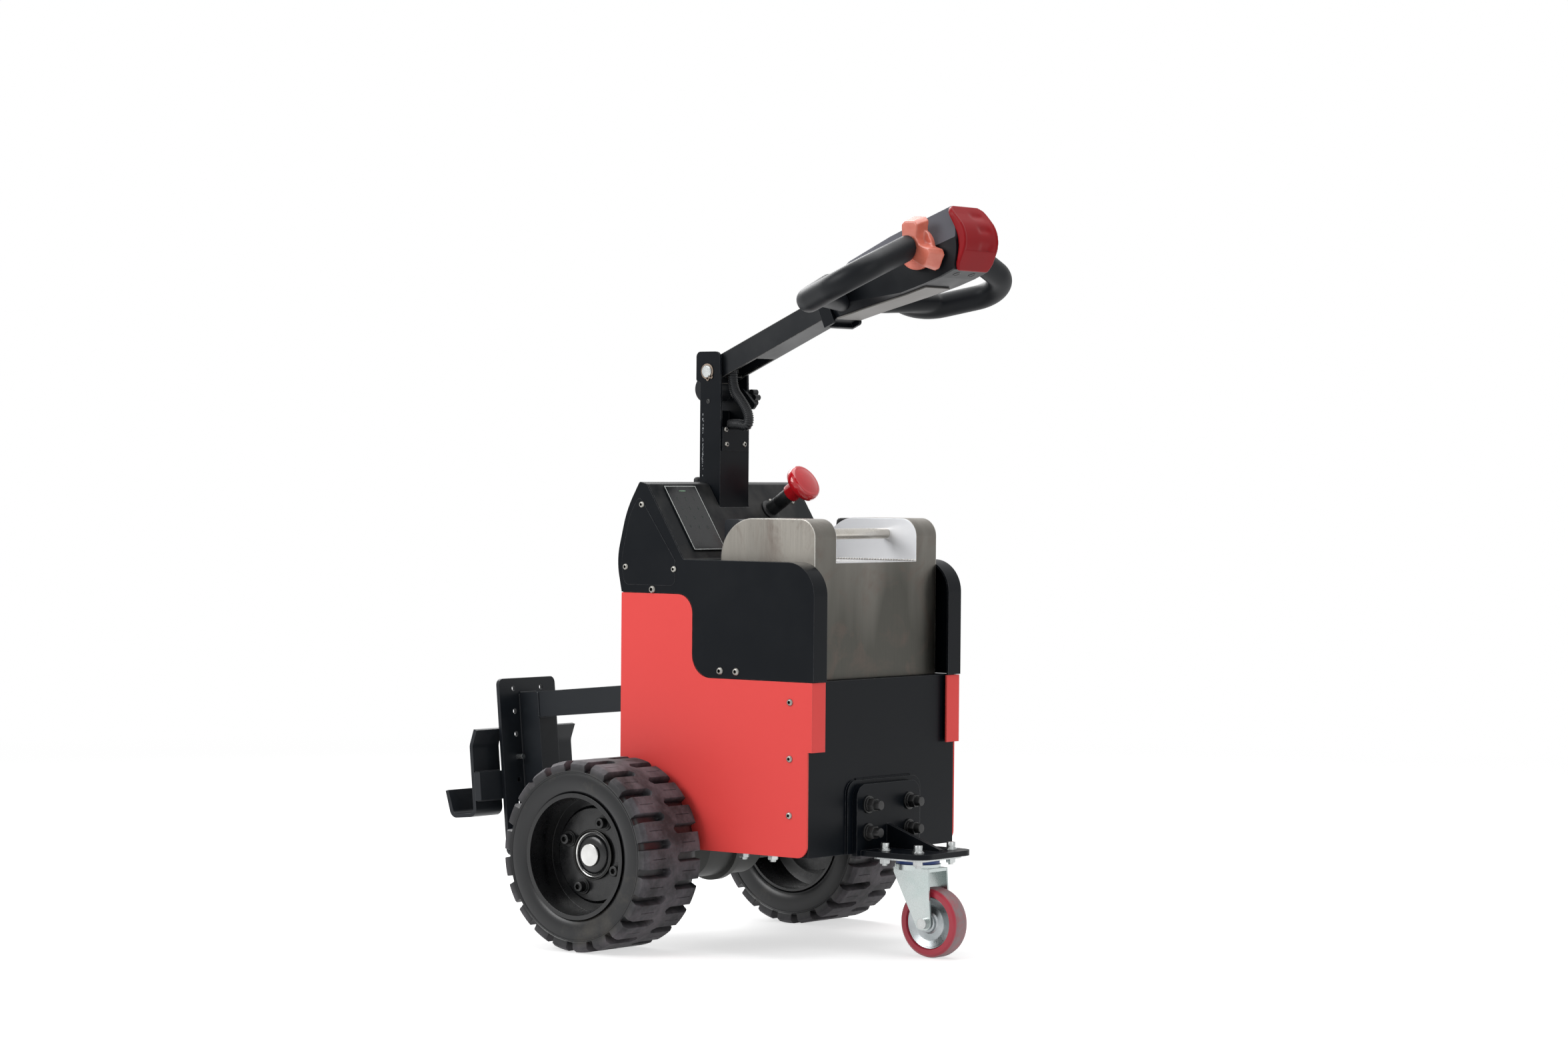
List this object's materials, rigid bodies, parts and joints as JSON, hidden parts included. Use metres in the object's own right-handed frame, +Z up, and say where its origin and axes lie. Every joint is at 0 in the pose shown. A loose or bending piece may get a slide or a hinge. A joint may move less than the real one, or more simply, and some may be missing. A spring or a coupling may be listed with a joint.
{
  "type": "electric tow tractor",
  "caption": "Walk-behind electric tow tractor: driven wheels, rear caster, lift-out battery, folding tiller and a lifting hook hitch.",
  "frame": {"origin": "on the floor, under the middle of the bounding box at rest", "axes": "+X towards the operator, where the caster, battery and tiller head are; -X towards the hitch; +Y to the left side when facing +X; +Z up"},
  "size_m": [0.9414, 0.628, 1.087],
  "materials": {
    "black_powder_coat": "satin black powder coat",
    "red_powder_coat": "satin red powder coat",
    "glass_panel": "dark glossy touch panel",
    "rubber_black": "black rubber",
    "red_plastic": "glossy red plastic",
    "stainless": "brushed stainless steel",
    "grey_plastic": "grey plastic",
    "cast_grey": "grey painted casting",
    "zinc": "zinc plate",
    "dark_plastic": "textured dark grey plastic",
    "orange_plastic": "salmon orange plastic",
    "belly_red": "dark red rubbery plastic",
    "tyre_rubber": "black solid tyre rubber",
    "chrome_cap": "chrome",
    "pu_tread": "red polyurethane",
    "bearing_blue": "blue bearing seal"
  },
  "bodies": {
    "machine": {"chassis_frame": "black_powder_coat", "frame_front_sheet": "black_powder_coat", "side_panel_right": "red_powder_coat", "side_panel_left": "red_powder_coat", "shroud_side_right": "black_powder_coat", "shroud_side_left": "black_powder_coat", "console_shell": "black_powder_coat", "keypad": "glass_panel", "cable_gland": "rubber_black", "emergency_stop_stalk": "rubber_black", "emergency_stop_button": "red_plastic", "battery_pack": "stainless", "battery_handle": "stainless", "battery_connector": "grey_plastic", "isolator_knob": "rubber_black", "transaxle": "cast_grey", "column": "black_powder_coat", "column_cover": "black_powder_coat", "tiller_pivot_pin": "zinc", "tilt_strap": "black_powder_coat", "star_knob": "rubber_black", "tiller_conduit": "rubber_black", "hitch_pivot_pin": "zinc", "caster_bracket": "black_powder_coat", "bracket_bolts": "black_powder_coat", "caster_plate": "zinc", "caster_bearing": "bearing_blue"},
    "wheel_right": {"tyre_right": "tyre_rubber", "rim_right": "black_powder_coat", "hub_right": "black_powder_coat", "axle_cap_right": "chrome_cap"},
    "wheel_left": {"tyre_left": "tyre_rubber", "rim_left": "black_powder_coat", "hub_left": "black_powder_coat", "axle_cap_left": "chrome_cap"},
    "caster_swivel": {"caster_fork": "zinc", "caster_axle": "zinc"},
    "caster_wheel": {"caster_hub": "zinc", "caster_tread": "pu_tread"},
    "tiller": {"tiller_arm": "black_powder_coat", "head_bracket": "black_powder_coat", "handle_head": "dark_plastic", "head_cover": "grey_plastic", "grip_loop_right": "dark_plastic", "grip_loop_left": "dark_plastic", "throttle_butterflies": "orange_plastic", "belly_button": "belly_red"},
    "hitch": {"hitch_arm": "black_powder_coat", "hitch_post": "black_powder_coat", "hitch_plate": "black_powder_coat", "hitch_cross_bar": "black_powder_coat", "hitch_hooks": "black_powder_coat", "hitch_studs": "zinc"}
  },
  "joints": [
    {"name": "wheel_right_spin", "type": "hinge", "parent": "machine", "child": "wheel_right", "pos_m": [-0.032, -0.25, 0.14], "axis": [0, 1, 0], "continuous": true},
    {"name": "wheel_left_spin", "type": "hinge", "parent": "machine", "child": "wheel_left", "pos_m": [-0.032, 0.25, 0.14], "axis": [0, 1, 0], "continuous": true},
    {"name": "caster_swivel_turn", "type": "hinge", "parent": "machine", "child": "caster_swivel", "pos_m": [0.359, 0, 0.13], "axis": [0, 0, 1], "continuous": true},
    {"name": "caster_wheel_spin", "type": "hinge", "parent": "caster_swivel", "child": "caster_wheel", "pos_m": [0.389, 0, 0.051], "axis": [0, 1, 0], "continuous": true},
    {"name": "tiller_tilt", "type": "hinge", "parent": "machine", "child": "tiller", "pos_m": [-0.018, 0, 0.853], "axis": [0, -1, 0], "range_deg": [-20, 50], "deforming": ["tiller_conduit"]},
    {"name": "hitch_lift", "type": "hinge", "parent": "machine", "child": "hitch", "pos_m": [0.013, 0, 0.3715], "axis": [0, 1, 0], "range_deg": [-3, 6]}
  ]
}
